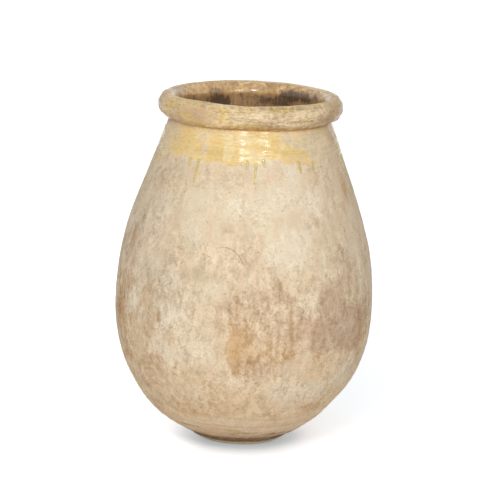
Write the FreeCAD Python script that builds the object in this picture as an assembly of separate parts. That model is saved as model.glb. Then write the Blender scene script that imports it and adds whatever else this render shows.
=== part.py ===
"""Olive storage jar: a large fired-clay vessel with a rolled rim and a glazed mouth.

The jar is built up as its maker builds it. A foot disc closes the bottom, three lifts of wall are luted
on top of each other with scarfed seams, a collar narrows to the mouth, and a heavy roll of clay is
pressed over the collar's edge. Glaze lines the inside, covers the rim and bands the neck, and runs of it
hang below the band.

Millimetres. The origin is the centre of the foot's underside, and +Z points up. Each piece of clay or
glaze is a section drawn in the XZ plane, where X is the radius, and turned about Z.
"""

import FreeCAD
import Part
import math
import os

# Overall form
HEIGHT = 850.0  # floor to the crown of the rim
BELLY_DIAMETER = 627.0  # outside, at the widest level
BELLY_LEVEL = 335.0  # height of the widest level
HEEL_RISE = 23.7  # degrees: slope of the body where it leaves the foot
NECK_SLOPE = 18.4  # degrees from the vertical: lean of the body under the rim

# Shares of the run between two ends of the outline that the curve follows each end's own direction
HEEL_FULLNESS = 0.37
BELLY_FULLNESS = 0.40
NECK_FULLNESS = 0.42

# Foot
FOOT_DIAMETER = 238.0  # outside of the foot's lip, and of the body where it meets the foot
FOOT_HEIGHT = 15.0
FOOT_BASE_DIAMETER = 202.0  # flat underside that stands on the floor
FOOT_LIP = 3.0  # height of the rounded lip above the sloped underside
FOOT_GROOVE = 2.5  # height of the groove between the lip and the body
FOOT_WAIST = 2.5  # depth of that groove

# Clay wall and its seams
WALL = 22.0
LOWER_LIFT_TOP = 190.0  # outside level of the seam between the lower and belly lifts
BELLY_LIFT_TOP = 440.0  # outside level of the seam between the belly and shoulder lifts
COLLAR_HEIGHT = 108.0  # from the collar's seam up to its top edge
SEAM_LAP = 20.0  # how much higher a seam is on the inside than on the outside

# Mouth
NECK_DIAMETER = 384.0  # outside of the collar at its top edge
COLLAR_EDGE = 15.8  # clay at the collar's top edge, from its outside in to the throat
RIM_OVERHANG = 31.5  # how far the glazed roll stands out past the collar's top edge
RIM_HEIGHT = 56.0  # height of the glazed roll
RIM_LAP = 6.0  # how far the glazed roll hangs below the collar's top edge

# Glaze
GLAZE = 1.2  # thickness of the coat
GLAZE_BAND = 81.0  # from the underside of the rim down to the lower edge of the neck's coat
RUN_THICKNESS = 1.8
RUN_LENGTH = 58.0  # longest run, below the band
RUN_WIDTH = 8.0  # widest run
RUN_ROOT = 9.0  # length over which a run narrows below the band
RUN_FLARE = 2.4  # how many times wider a run is where it leaves the band

# Each run of glaze: degrees round from the front, share of the longest length, share of the widest width
GLAZE_RUNS = (
    (-37.5, 0.31, 0.75),
    (-31.5, 0.90, 1.00),
    (-0.5, 0.29, 0.62),
    (4.5, 0.79, 0.81),
    (9.5, 0.24, 0.75),
    (32.5, 0.41, 1.00),
    (42.0, 0.34, 0.62),
    (78.0, 0.57, 0.88),
    (112.0, 1.00, 1.00),
    (119.0, 0.38, 0.75),
    (163.0, 0.52, 0.88),
    (196.0, 0.81, 0.94),
    (231.0, 0.33, 0.75),
    (258.0, 0.67, 0.88),
    (290.0, 0.43, 0.81),
)

# Levels and radii that follow from the sizes above
SEAT_LEVEL = HEIGHT - RIM_HEIGHT + RIM_LAP
LIP_LEVEL = HEIGHT - RIM_HEIGHT / 2
COLLAR_LEVEL = SEAT_LEVEL - COLLAR_HEIGHT
BAND_LEVEL = HEIGHT - RIM_HEIGHT - GLAZE_BAND
FOOT_RADIUS = FOOT_DIAMETER / 2
NECK_RADIUS = NECK_DIAMETER / 2
THROAT_RADIUS = NECK_RADIUS - COLLAR_EDGE
MOUTH_RADIUS = THROAT_RADIUS - GLAZE
RIM_RADIUS = NECK_RADIUS + RIM_OVERHANG
CROWN_RADIUS = (MOUTH_RADIUS + RIM_RADIUS) / 2
BEYOND = 2 * max(HEIGHT, BELLY_DIAMETER)  # past every piece, for cutting

AXIS_FOOT = FreeCAD.Vector(0, 0, 0)
UP = FreeCAD.Vector(0, 0, 1)
OUT = FreeCAD.Vector(1, 0, 0)
FRONT = FreeCAD.Vector(0, -1, 0)


def at(radius, level):
    """The point of the section at that radius and level."""
    return FreeCAD.Vector(radius, 0, level)


def bearing(degrees):
    """The direction in the section that rises by that angle from straight outwards."""
    angle = math.radians(degrees)
    return at(math.cos(angle), math.sin(angle))


def face_of(*edges):
    """The flat face inside a closed loop of edges, in any order."""
    return Part.Face(Part.Wire(Part.__sortEdges__(list(edges))))


def polygon(*points):
    """The flat face inside straight sides through the points."""
    return Part.Face(Part.makePolygon([*points, points[0]]))


def block(low_radius, low_level, high_radius, high_level):
    """A rectangle of the section."""
    return polygon(
        at(low_radius, low_level),
        at(high_radius, low_level),
        at(high_radius, high_level),
        at(low_radius, high_level),
    )


def turned(section):
    """The solid that one face of the section sweeps about the jar's axis."""
    (face,) = section.Faces
    solid = face.revolve(AXIS_FOOT, UP, 360)
    return solid if solid.Volume > 0 else solid.reversed()


def curve(poles):
    """The smooth edge that the poles pull."""
    bezier = Part.BezierCurve()
    bezier.setPoles(poles)
    return bezier.toBSpline().toShape()


def outline_poles():
    """The outside of the body: poles from the foot to the belly, and from the belly to the collar's top."""
    heel = at(FOOT_RADIUS, FOOT_HEIGHT)
    belly = at(BELLY_DIAMETER / 2, BELLY_LEVEL)
    neck = at(NECK_RADIUS, SEAT_LEVEL)
    below = heel.distanceToPoint(belly)
    above = belly.distanceToPoint(neck)
    lower = [
        heel,
        heel + bearing(HEEL_RISE) * (HEEL_FULLNESS * below),
        belly - UP * (BELLY_FULLNESS * below),
        belly,
    ]
    upper = [
        belly,
        belly + UP * (BELLY_FULLNESS * above),
        neck + bearing(NECK_SLOPE - 90) * (NECK_FULLNESS * above),
        neck,
    ]
    return lower, upper


def crossing(start, direction, other_start, other_direction):
    """Where two straight lines of the section meet."""
    between = other_start - start
    across = direction.x * other_direction.z - direction.z * other_direction.x
    along = (between.x * other_direction.z - between.z * other_direction.x) / across
    return start + direction * along


def moved_out(poles, distance):
    """Poles of the curve that runs beside another one, that far out from it, or in if negative."""
    legs = [(b - a).normalize() for a, b in zip(poles, poles[1:])]
    outward = [at(leg.z, -leg.x) * distance for leg in legs]
    first = poles[0] + outward[0]
    last = poles[-1] + outward[-1]
    middle = poles[1] + outward[1]
    return [
        first,
        crossing(first, legs[0], middle, legs[1]),
        crossing(last, legs[2], middle, legs[1]),
        last,
    ]


def body(distance):
    """The face from the axis out to the body's outside, moved out by the distance."""
    lower, upper = (moved_out(poles, distance) for poles in outline_poles())
    heel, neck = lower[0], upper[-1]
    return face_of(
        curve(lower),
        curve(upper),
        Part.makeLine(neck, at(0, neck.z)),
        Part.makeLine(at(0, neck.z), at(0, heel.z)),
        Part.makeLine(at(0, heel.z), heel),
    )


def hollow(depth, throat_radius):
    """The face of the jar's inside, that deep under the body's outside, with its throat up to the lip."""
    return body(-depth).fuse(block(0, COLLAR_LEVEL, throat_radius, LIP_LEVEL)).removeSplitter()


def wall_section():
    """The clay between the outside and the inside, from the foot disc up to the rim's seat."""
    return body(0).cut(hollow(WALL, THROAT_RADIUS)).cut(disc_block())


def disc_block():
    """What lies inside the joint between the foot disc and the lower lift."""
    heel = outline_poles()[0][0]
    inner = moved_out(outline_poles()[0], -WALL)[0]
    return polygon(at(0, heel.z), heel, inner, at(0, inner.z))


def radii_at(section, level):
    """The inner and outer radius of a section at a level."""
    chord = section.common(Part.makeLine(at(0, level), at(BEYOND, level)))
    radii = [vertex.X for vertex in chord.Vertexes]
    return min(radii), max(radii)


def seam(wall, level):
    """A scarfed seam through the wall, from the axis outwards: higher inside than outside."""
    _, outside = radii_at(wall, level)
    inside, _ = radii_at(wall, level + SEAM_LAP)
    return [
        at(0, level + SEAM_LAP),
        at(inside, level + SEAM_LAP),
        at(outside, level),
        at(BEYOND, level),
    ]


def lift_sections():
    """The wall cut at its seams, from the foot up."""
    wall = wall_section()
    seams = [seam(wall, level) for level in (LOWER_LIFT_TOP, BELLY_LIFT_TOP, COLLAR_LEVEL)]
    floor = [at(0, 0), at(BEYOND, 0)]
    sky = [at(0, BEYOND), at(BEYOND, BEYOND)]
    lines = [floor, *seams, sky]
    return [
        wall.common(polygon(*below, *reversed(above))) for below, above in zip(lines, lines[1:])
    ]


def foot_section():
    """The disc that closes the bottom: a sloped underside, a lip, a groove, and the jar's floor inside."""
    base = at(FOOT_BASE_DIAMETER / 2, 0)
    heel = outline_poles()[0][0]
    floor_edge = moved_out(outline_poles()[0], -WALL)[0]
    lip_top = heel - OUT * (FOOT_LIP / 2) - UP * FOOT_GROOVE
    lip_bottom = lip_top - UP * FOOT_LIP
    lip_pole = (lip_bottom + lip_top) * 0.5 + OUT * FOOT_LIP
    groove_pole = (lip_top + heel) * 0.5 - OUT * (2 * FOOT_WAIST)
    return face_of(
        Part.makeLine(at(0, 0), base),
        Part.makeLine(base, lip_bottom),
        curve([lip_bottom, lip_pole, lip_top]),
        curve([lip_top, groove_pole, heel]),
        Part.makeLine(heel, floor_edge),
        Part.makeLine(floor_edge, at(0, floor_edge.z)),
        Part.makeLine(at(0, floor_edge.z), at(0, 0)),
    )


def roll_outline(inset):
    """The rim's outline, that far inside its glazed surface: an oval with a square corner at the collar."""
    tall = RIM_HEIGHT / 2 - inset
    wide = CROWN_RADIUS - MOUTH_RADIUS - inset
    middle = at(CROWN_RADIUS, LIP_LEVEL)
    crown = middle + UP * tall
    lip = middle - OUT * wide
    underside = middle - UP * tall
    corner = lip - UP * tall
    if tall > wide:
        oval = Part.ArcOfEllipse(Part.Ellipse(crown, lip, middle), math.pi, 2.5 * math.pi)
    else:
        oval = Part.ArcOfEllipse(Part.Ellipse(lip, crown, middle), 0, 1.5 * math.pi)
    return face_of(oval.toShape(), Part.makeLine(underside, corner), Part.makeLine(corner, lip))


def roll_section():
    """The roll of clay: round above and outside, straight down the throat, and lapped over the collar."""
    return roll_outline(GLAZE).cut(wall_section())


def throat_block():
    """The throat inside the clay, below the lip."""
    return block(0, 0, THROAT_RADIUS, LIP_LEVEL)


def lining_section():
    """The glaze on the inside, from the middle of the floor up to the lip."""
    return hollow(WALL, THROAT_RADIUS).cut(hollow(WALL + GLAZE, MOUTH_RADIUS))


def rim_glaze_section():
    """The glaze on the rim, from the lip over the crown and down into the crease."""
    return roll_outline(0).cut(roll_section()).cut(wall_section()).cut(throat_block())


def coat(thickness, low_level, high_level):
    """A coat on the outside of the body, between two levels."""
    skin = body(thickness).cut(body(0)).cut(roll_outline(0))
    return skin.common(block(0, low_level, BEYOND, high_level))


def run_outline(length, width):
    """A run of glaze seen from the front: wide at the band, narrowing to a round tip."""
    half_root = RUN_FLARE * width / 2
    half = width / 2
    tip_level = BAND_LEVEL - length
    flank_level = BAND_LEVEL - min(RUN_ROOT, length / 2)
    round_level = tip_level + min(half, (flank_level - tip_level) / 2)
    edges = [
        Part.makeLine(at(-half_root, BAND_LEVEL), at(half_root, BAND_LEVEL)),
        Part.Arc(at(-half, round_level), at(0, tip_level), at(half, round_level)).toShape(),
    ]
    for side in (-1, 1):
        flank = at(side * half, flank_level)
        edges.append(curve([at(side * half_root, BAND_LEVEL), at(side * half, BAND_LEVEL), flank]))
        edges.append(Part.makeLine(flank, at(side * half, round_level)))
    return face_of(*edges)


def glaze_runs():
    """Every run, cut from one coat below the band, as a group of separate solids."""
    ring = turned(coat(RUN_THICKNESS, BAND_LEVEL - RUN_LENGTH, BAND_LEVEL))
    runs = []
    for degrees, length_share, width_share in GLAZE_RUNS:
        tongue = run_outline(length_share * RUN_LENGTH, width_share * RUN_WIDTH).extrude(FRONT * BEYOND)
        tongue.rotate(AXIS_FOOT, UP, degrees)
        runs.append(ring.common(tongue).Solids[0])
    return Part.makeCompound(runs)


def pieces():
    """Each piece of the jar by name."""
    lower, belly, shoulder, collar = lift_sections()
    return {
        "foot_disc": turned(foot_section()),
        "lower_wall": turned(lower),
        "belly_wall": turned(belly),
        "shoulder_wall": turned(shoulder),
        "neck_collar": turned(collar),
        "rolled_rim": turned(roll_section()),
        "inner_glaze": turned(lining_section()),
        "rim_glaze": turned(rim_glaze_section()),
        "neck_glaze": turned(coat(GLAZE, BAND_LEVEL, SEAT_LEVEL)),
        "glaze_runs": glaze_runs(),
    }


def main():
    os.makedirs("parts", exist_ok=True)
    for name, shape in pieces().items():
        shape.exportStep(f"parts/{name}.step")
        box = shape.BoundBox
        print(
            f"{name}: {len(shape.Solids)} solid, {shape.Volume / 1000:.1f} cm3, valid {shape.isValid()},"
            f" r {box.XMax:.1f}, z {box.ZMin:.1f} to {box.ZMax:.1f}"
        )


main()
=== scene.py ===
"""Looks of the olive storage jar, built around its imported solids.

The clay body, the roll of the rim and the coats of glaze are turned on the jar's axis, as a potter turns
them, and then worked by hand: slow swellings, throwing rings, and a ragged edge and runs on the glaze.
Lengths are metres. The jar's axis is +Z. A bearing is measured round the axis from the front (-Y), and is
positive to the viewer's right (+X).
"""

import logging
import math
from dataclasses import dataclass
from enum import Enum
from functools import cached_property

import bmesh
import bpy
import numpy as np
from mathutils import Matrix, Vector


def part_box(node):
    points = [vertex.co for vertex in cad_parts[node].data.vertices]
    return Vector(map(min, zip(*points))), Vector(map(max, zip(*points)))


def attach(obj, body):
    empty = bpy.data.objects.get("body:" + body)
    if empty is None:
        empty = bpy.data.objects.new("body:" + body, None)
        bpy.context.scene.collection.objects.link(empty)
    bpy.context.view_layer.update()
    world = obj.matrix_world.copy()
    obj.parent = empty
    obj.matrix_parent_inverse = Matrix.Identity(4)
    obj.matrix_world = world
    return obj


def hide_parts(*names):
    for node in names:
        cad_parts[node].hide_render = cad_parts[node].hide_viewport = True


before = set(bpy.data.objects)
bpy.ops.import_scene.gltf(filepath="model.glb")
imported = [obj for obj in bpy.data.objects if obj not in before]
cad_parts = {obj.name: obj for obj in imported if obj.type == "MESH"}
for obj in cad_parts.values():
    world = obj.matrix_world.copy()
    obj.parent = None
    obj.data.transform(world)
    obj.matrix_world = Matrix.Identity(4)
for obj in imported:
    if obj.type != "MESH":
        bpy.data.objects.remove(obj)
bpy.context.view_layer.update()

BODY = "root"  # the jar has no moving parts, so every piece rides on one body
MERGE_DISTANCE = 1e-5
WEDGES = 12  # a full turn is spun as one wedge and copied round, which is much quicker
GLAZE_IOR = 1.5
RING_DEPTH = 0.0003  # how deep the turning marks in the glaze are
EDGE_BREAK = 2.4  # how far noise moves the edge of a stain, against the stain's strength
log = logging.getLogger("olive_jar")
Profile = list[tuple[float, float]]
Colour = tuple[float, float, float, float]
Socket = bpy.types.NodeSocket


def smooth_step(low: float, high: float, value: np.ndarray) -> np.ndarray:
    """Rise smoothly from 0 to 1.

    Args:
        low: Where the rise starts.
        high: Where the rise ends.
        value: What is compared with the two.

    Returns:
        0 up to low, 1 from high, and a smooth curve between.
    """
    share = np.clip((value - low) / (high - low), 0, 1)
    return share * share * (3 - 2 * share)


def cylindrical(points: np.ndarray) -> tuple[np.ndarray, np.ndarray, np.ndarray]:
    """Describe points by their place round the jar's axis.

    Args:
        points: Rows of x, y, z.

    Returns:
        The radius, the bearing in radians and the level of each point.
    """
    return np.hypot(points[:, 0], points[:, 1]), np.arctan2(points[:, 0], -points[:, 1]), points[:, 2]


def cartesian(radius: np.ndarray, bearing: np.ndarray, level: np.ndarray) -> np.ndarray:
    """Turn places round the jar's axis back into points.

    Args:
        radius: Distance from the axis.
        bearing: Radians round from the front.
        level: Height.

    Returns:
        Rows of x, y, z.
    """
    return np.stack([radius * np.sin(bearing), -radius * np.cos(bearing), level], axis=1)


def turned_from(place: float, bearing: np.ndarray) -> np.ndarray:
    """Radians round from a place, which is in degrees, by the shorter way."""
    return np.remainder(bearing - math.radians(place) + math.pi, math.tau) - math.pi


def lengths_along(line: np.ndarray) -> np.ndarray:
    """Distance along a line from its first point to each of its points."""
    steps = np.linalg.norm(np.diff(line, axis=0), axis=1)
    return np.concatenate([[0.0], np.cumsum(steps)])


@dataclass(frozen=True)
class SlowWave:
    """A smooth random field: waves of about one size that cross in random directions."""

    size: float
    seed: int
    count: int = 16

    def at(self, points: np.ndarray) -> np.ndarray:
        """Read the field.

        Args:
            points: Rows of x, y, z.

        Returns:
            One value for each point, about 0 on average and mostly within 2 of it.
        """
        draw = np.random.default_rng(self.seed)
        directions = draw.normal(size=(self.count, 3))
        directions /= np.linalg.norm(directions, axis=1, keepdims=True)
        pitches = self.size * draw.uniform(0.7, 1.6, self.count)
        phases = draw.uniform(0, math.tau, self.count)
        waves = np.sin(points @ (directions * (math.tau / pitches)[:, None]).T + phases)
        return waves.sum(axis=1) / math.sqrt(self.count / 2)


def pulled(poles: tuple[np.ndarray, ...], samples: int) -> np.ndarray:
    """Sample the smooth curve that poles pull.

    Args:
        poles: The two ends, with the poles that pull the curve between them.
        samples: How many points to take.

    Returns:
        Rows of radius and level.
    """
    share = np.linspace(0, 1, samples)[:, None]
    rows = [np.broadcast_to(pole, (samples, 2)) for pole in poles]
    while len(rows) > 1:
        rows = [near + (far - near) * share for near, far in zip(rows, rows[1:])]
    return rows[0]


@dataclass(frozen=True)
class Outline:
    """The outside of the body, from the foot up to the collar's top edge, as one smooth line."""

    foot_radius: float
    foot_height: float
    belly_radius: float
    seat_level: float
    belly_level: float = 0.335
    neck_radius: float = 0.192
    heel_rise: float = math.radians(23.7)
    neck_slope: float = math.radians(18.4)
    heel_fullness: float = 0.37
    belly_fullness: float = 0.40
    neck_fullness: float = 0.42
    samples: int = 600

    @classmethod
    def from_frame(cls) -> "Outline":
        """Read the outline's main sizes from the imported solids.

        Returns:
            The outline of this jar.
        """
        return cls(
            foot_radius=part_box("foot_disc")[1].x,
            foot_height=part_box("lower_wall")[0].z,
            belly_radius=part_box("belly_wall")[1].x,
            seat_level=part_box("neck_collar")[1].z,
        )

    @cached_property
    def line(self) -> np.ndarray:
        """Points along the outline, as rows of radius and level."""
        heel = np.array([self.foot_radius, self.foot_height])
        belly = np.array([self.belly_radius, self.belly_level])
        neck = np.array([self.neck_radius, self.seat_level])
        below = np.linalg.norm(belly - heel)
        above = np.linalg.norm(neck - belly)
        up = np.array([0.0, 1.0])
        heel_way = np.array([math.cos(self.heel_rise), math.sin(self.heel_rise)])
        neck_way = np.array([math.sin(self.neck_slope), -math.cos(self.neck_slope)])
        lower = (
            heel,
            heel + heel_way * self.heel_fullness * below,
            belly - up * self.belly_fullness * below,
            belly,
        )
        upper = (
            belly,
            belly + up * self.belly_fullness * above,
            neck + neck_way * self.neck_fullness * above,
            neck,
        )
        return np.concatenate([pulled(lower, self.samples)[:-1], pulled(upper, self.samples)])

    @cached_property
    def normals(self) -> np.ndarray:
        """Outward directions along the line."""
        way = np.gradient(self.line, axis=0)
        out = np.stack([way[:, 1], -way[:, 0]], axis=1)
        return out / np.linalg.norm(out, axis=1, keepdims=True)

    @cached_property
    def lengths(self) -> np.ndarray:
        """Distance along the line from the heel to each of its points."""
        return lengths_along(self.line)

    def inside(self, depth: float) -> np.ndarray:
        """The line that runs that deep under the outside."""
        return self.line - self.normals * depth

    def radius_at(self, level: np.ndarray, depth: float = 0.0) -> np.ndarray:
        """The radius at a level, that deep under the outside."""
        line = self.inside(depth)
        return np.interp(level, line[:, 1], line[:, 0])

    def normal_at(self, level: np.ndarray) -> tuple[np.ndarray, np.ndarray]:
        """The outward and the upward part of the normal at a level."""
        levels = self.line[:, 1]
        return np.interp(level, levels, self.normals[:, 0]), np.interp(level, levels, self.normals[:, 1])

    def length_at(self, level: np.ndarray) -> np.ndarray:
        """The distance along the outline from the heel up to a level."""
        return np.interp(level, self.line[:, 1], self.lengths)

    def stretch(self, low: float, high: float, spacing: float, depth: float = 0.0) -> Profile:
        """Take even points along a stretch of the line.

        Args:
            low: The stretch's lower level.
            high: Its upper level.
            spacing: About how far apart the points are.
            depth: How deep the line runs under the outside.

        Returns:
            Pairs of radius and level from the lower end to the upper one.
        """
        line = self.inside(depth)
        lengths = lengths_along(line)
        start, end = np.interp([low, high], line[:, 1], lengths)
        count = max(2, round((end - start) / spacing) + 1)
        places = np.linspace(start, end, count)
        radii = np.interp(places, lengths, line[:, 0])
        levels = np.interp(places, lengths, line[:, 1])
        return list(zip(radii.tolist(), levels.tolist()))


@dataclass(frozen=True)
class PotterHand:
    """How far a hand-built jar departs from a true turning."""

    outline: Outline
    swell: float = 0.0011
    swell_size: float = 0.34
    lump: float = 0.00035
    lump_size: float = 0.095
    dimple: float = 0.00012
    dimple_size: float = 0.032
    ring: float = 0.00016
    neck_ring: float = 0.00010
    heel_ring: float = 0.00055
    ring_pitch: float = 0.019
    ring_drift: float = 1.6
    drift_size: float = 0.50
    wobble: float = 0.5
    wobble_size: float = 0.06
    wobble_squash: tuple[float, float, float] = (0.2, 0.2, 1.0)
    neck_levels: tuple[float, float] = (0.67, 0.73)
    heel_levels: tuple[float, float] = (0.07, 0.15)
    reach: float = 0.010
    floor_clearance: float = 0.012
    sag: float = -0.0050
    sag_level: float = 0.085
    sag_spread: float = 0.050

    def work(self, points: np.ndarray) -> np.ndarray:
        """Move the points at the outside of the body, and leave those deep in the wall.

        Args:
            points: Rows of x, y, z on a true turning.

        Returns:
            The worked points.
        """
        radius, bearing, level = cylindrical(points)
        depth = self.outline.radius_at(level) - radius
        hold = smooth_step(0.0, self.floor_clearance, level)
        weight = hold * (1 - smooth_step(0.0, self.reach, depth))
        surface = cartesian(self.outline.radius_at(level), bearing, level)
        amount = weight * self.relief(surface)
        out, up = self.outline.normal_at(level)
        moved = cartesian(radius + out * amount, bearing, level + up * amount)
        moved[:, 0] += hold * self.sag * np.exp(-(((level - self.sag_level) / self.sag_spread) ** 2))
        return moved

    def relief(self, surface: np.ndarray) -> np.ndarray:
        """How far the worked surface stands out.

        Args:
            surface: Points on the true outside.

        Returns:
            One distance for each point.
        """
        level = surface[:, 2]
        hand = self.swell * SlowWave(self.swell_size, 11).at(surface)
        hand += self.lump * SlowWave(self.lump_size, 12).at(surface)
        hand += self.dimple * SlowWave(self.dimple_size, 13).at(surface)
        drift = SlowWave(self.drift_size, 14).at(surface)
        drift += self.wobble * SlowWave(self.wobble_size, 15).at(surface * self.wobble_squash)
        turns = self.outline.length_at(level) / self.ring_pitch
        height = self.ring + self.neck_ring * smooth_step(*self.neck_levels, level)
        height = height + self.heel_ring * (1 - smooth_step(*self.heel_levels, level))
        return hand + height * np.sin(math.tau * turns + self.ring_drift * drift)


class Mark(Enum):
    """What has stained the clay, with painted shade and painted highlights in places, and the name of the
    attribute that holds how much of it there is.
    """

    ASH = "ash"
    LIME_AND_HIGHLIGHT = "lime"
    OCHRE = "ochre"
    RUST = "rust"
    DAMP_AND_SHADE = "damp_and_foot_shade"
    LOW_TINT = "low_tint"
    WEAR = "wear"
    INNER = "inner"
    SOOT_AND_SHADE = "soot"
    SPECK = "speck"


@dataclass(frozen=True)
class Cut:
    """A straight edge where a blotch stops, through one point of the surface.

    The bearing is in degrees. Keep is the way to the side that stays stained, in degrees up from straight
    to the right as seen from outside. The edge is soft over its width.
    """

    bearing: float
    level: float
    keep: float
    width: float = 0.004


@dataclass(frozen=True)
class Stain:
    """One blotch on the jar.

    The bearing is in degrees. The half width and half height are along the surface, and tilt turns the
    blotch anticlockwise as seen from outside, in degrees. A softness of 0 is a hard edge, and 1 a soft one.
    """

    mark: Mark
    bearing: float
    level: float
    half_width: float
    half_height: float
    strength: float = 1.0
    softness: float = 0.6
    tilt: float = 0.0
    cut: Cut | None = None


def blots(mark: Mark, *rows: tuple) -> tuple[Stain, ...]:
    """Stains of one kind, each from a row of a stain's other values in their order."""
    return tuple(Stain(mark, *row) for row in rows)


OCHRE_SIDE = Cut(-6.5, 0.280, 0)
DAMP_BOTTOM = Cut(40, 0.268, 98)
DAMP_SIDE = Cut(34, 0.37, 0)
FOOT_LIP = Cut(0, 0.0135, 90, 0.0006)
STAINS = (
    *blots(
        Mark.ASH,
        (-34, 0.50, 0.09, 0.10, 0.40, 0.8), (-22, 0.44, 0.08, 0.06, 0.60, 0.8),
        (-55, 0.62, 0.08, 0.12, 0.50, 0.8), (-10, 0.58, 0.03, 0.04, 0.50, 0.8),
        (2, 0.60, 0.04, 0.10, 0.50, 0.9), (-18, 0.225, 0.045, 0.022, 0.60, 0.8),
        (-44, 0.42, 0.06, 0.10, 0.70, 0.9), (-8, 0.67, 0.16, 0.05, 0.45, 0.9),
        (46, 0.54, 0.05, 0.06, 0.40, 0.8), (150, 0.50, 0.13, 0.12, 0.65, 0.8),
        (-130, 0.36, 0.11, 0.10, 0.60, 0.8),
    ),
    *blots(
        Mark.LIME_AND_HIGHLIGHT,
        (22, 0.53, 0.070, 0.055, 0.95, 0.6), (16, 0.62, 0.10, 0.05, 0.70, 0.8),
        (-16, 0.63, 0.10, 0.05, 0.60, 0.8), (-22, 0.28, 0.080, 0.060, 0.65, 0.7),
        (-22, 0.17, 0.050, 0.030, 0.50, 0.8), (24, 0.235, 0.040, 0.020, 0.55, 0.8),
        (0, 0.085, 0.080, 0.030, 0.45, 0.9), (-24, 0.575, 0.06, 0.05, 0.60, 0.8),
        (41, 0.62, 0.05, 0.05, 0.50, 0.8), (-14, 0.43, 0.04, 0.03, 0.50, 0.8),
        (-51, 0.34, 0.04, 0.04, 0.50, 0.8), (-24, 0.094, 0.022, 0.0025, 0.75, 0.8),
        (30, 0.175, 0.085, 0.035, 0.75, 0.7), (60, 0.21, 0.06, 0.045, 0.60, 0.6),
        # The first stain on the next line, a thin upright pale strip on the right side, is a painted
        # highlight.
        (64, 0.46, 0.010, 0.09, 0.75, 0.8), (105, 0.55, 0.09, 0.10, 0.75, 0.8),
        (-105, 0.22, 0.08, 0.06, 0.70, 0.8), (190, 0.30, 0.10, 0.07, 0.75, 0.8),
        # The last stain on the next line, the pale ring on the foot's lip, is paler clay and partly a
        # painted highlight.
        (-150, 0.60, 0.10, 0.06, 0.75, 0.8), (0, 0.005, 2.0, 0.007, 1.00, 0.4),
    ),
    *blots(
        Mark.OCHRE,
        (8, 0.300, 0.120, 0.085, 0.65, 0.9, 0, OCHRE_SIDE),
        (-3, 0.290, 0.018, 0.055, 1.20, 0.5, 0, OCHRE_SIDE),
        (2, 0.275, 0.050, 0.035, 0.55, 0.9, 0, OCHRE_SIDE), (-30, 0.12, 0.06, 0.03, 0.45, 0.9),
        (12, 0.10, 0.08, 0.025, 0.45, 0.9), (45, 0.12, 0.06, 0.03, 0.50, 0.9),
        (4, 0.36, 0.10, 0.06, 0.40, 0.9), (12, 0.24, 0.05, 0.03, 0.45, 0.9),
        (-68, 0.36, 0.07, 0.13, 0.70, 0.9), (-50, 0.19, 0.07, 0.06, 0.50, 0.9),
        (66, 0.28, 0.04, 0.10, 0.60, 0.9), (-48, 0.34, 0.05, 0.08, 0.60, 0.9),
        (-30, 0.30, 0.04, 0.04, 0.45, 0.9), (130, 0.27, 0.08, 0.05, 0.80, 0.6),
        (-165, 0.42, 0.07, 0.05, 0.65, 0.8),
    ),
    *blots(
        Mark.RUST,
        (-56, 0.345, 0.020, 0.032, 0.50, 0.9), (-41, 0.238, 0.036, 0.018, 0.50, 0.9),
        (37, 0.268, 0.040, 0.006, 0.65, 0.8, 18), (68, 0.640, 0.022, 0.035, 0.60, 0.9),
        (165, 0.24, 0.03, 0.05, 0.70, 0.9), (-110, 0.47, 0.02, 0.04, 0.65, 0.9),
        (-64, 0.22, 0.02, 0.03, 0.40, 0.9), (-72, 0.31, 0.02, 0.05, 0.50, 0.9),
    ),
    *blots(
        Mark.DAMP_AND_SHADE,
        (50, 0.32, 0.13, 0.085, 0.90, 0.6, 0, DAMP_BOTTOM), (52, 0.43, 0.08, 0.080, 0.55, 0.9),
        (42, 0.37, 0.070, 0.065, 0.65, 0.7, 0, DAMP_SIDE), (22, 0.33, 0.09, 0.060, 0.60, 0.9),
        (8, 0.240, 0.07, 0.040, 0.55, 0.9), (5, 0.40, 0.12, 0.080, 0.50, 0.9),
        (0, 0.49, 0.06, 0.05, 0.50, 0.9), (-36, 0.40, 0.05, 0.05, 0.45, 0.9),
        (-20, 0.33, 0.05, 0.03, 0.35, 0.9), (56, 0.285, 0.05, 0.025, 0.80, 0.7),
        (64, 0.21, 0.05, 0.05, 0.45, 0.9), (-76, 0.32, 0.05, 0.14, 0.60, 0.9),
        (-66, 0.50, 0.06, 0.16, 0.50, 0.9), (-40, 0.33, 0.05, 0.07, 0.40, 0.9),
        (-8, 0.16, 0.04, 0.03, 0.30, 0.9), (-55, 0.13, 0.05, 0.05, 0.40, 0.9),
        # The first stain on the next line, a ring round the foot above its lip, is brown clay and partly
        # painted shade under the belly.
        (0, 0.026, 2.0, 0.018, 1.00, 0.8, 0, FOOT_LIP), (-145, 0.27, 0.10, 0.08, 0.75, 0.5, -9),
        (120, 0.43, 0.06, 0.06, 0.55, 0.9),
    ),
    *blots(
        Mark.SOOT_AND_SHADE,
        # The two rings round the foot: its brown zone above the lip, partly painted shade under the belly,
        # and a painted shade line in its groove. The short dashes after them are dirt.
        (0, 0.0205, 2.0, 0.012, 0.72, 0.45, 0, FOOT_LIP), (0, 0.0138, 2.0, 0.0010, 0.80, 0.5),
        (6, 0.052, 0.030, 0.0020, 0.70, 0.6, 1), (-40, 0.060, 0.050, 0.0025, 0.60, 0.6, 2),
        (35, 0.044, 0.050, 0.0025, 0.60, 0.6, -1),
    ),
    *blots(
        Mark.SPECK,
        (-18, 0.222, 0.050, 0.022, 0.95, 0.7), (-46, 0.310, 0.010, 0.022, 0.90, 0.5),
        (-15, 0.350, 0.050, 0.030, 0.40, 0.8), (140, 0.320, 0.060, 0.040, 0.80, 0.8),
    ),
)
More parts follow.
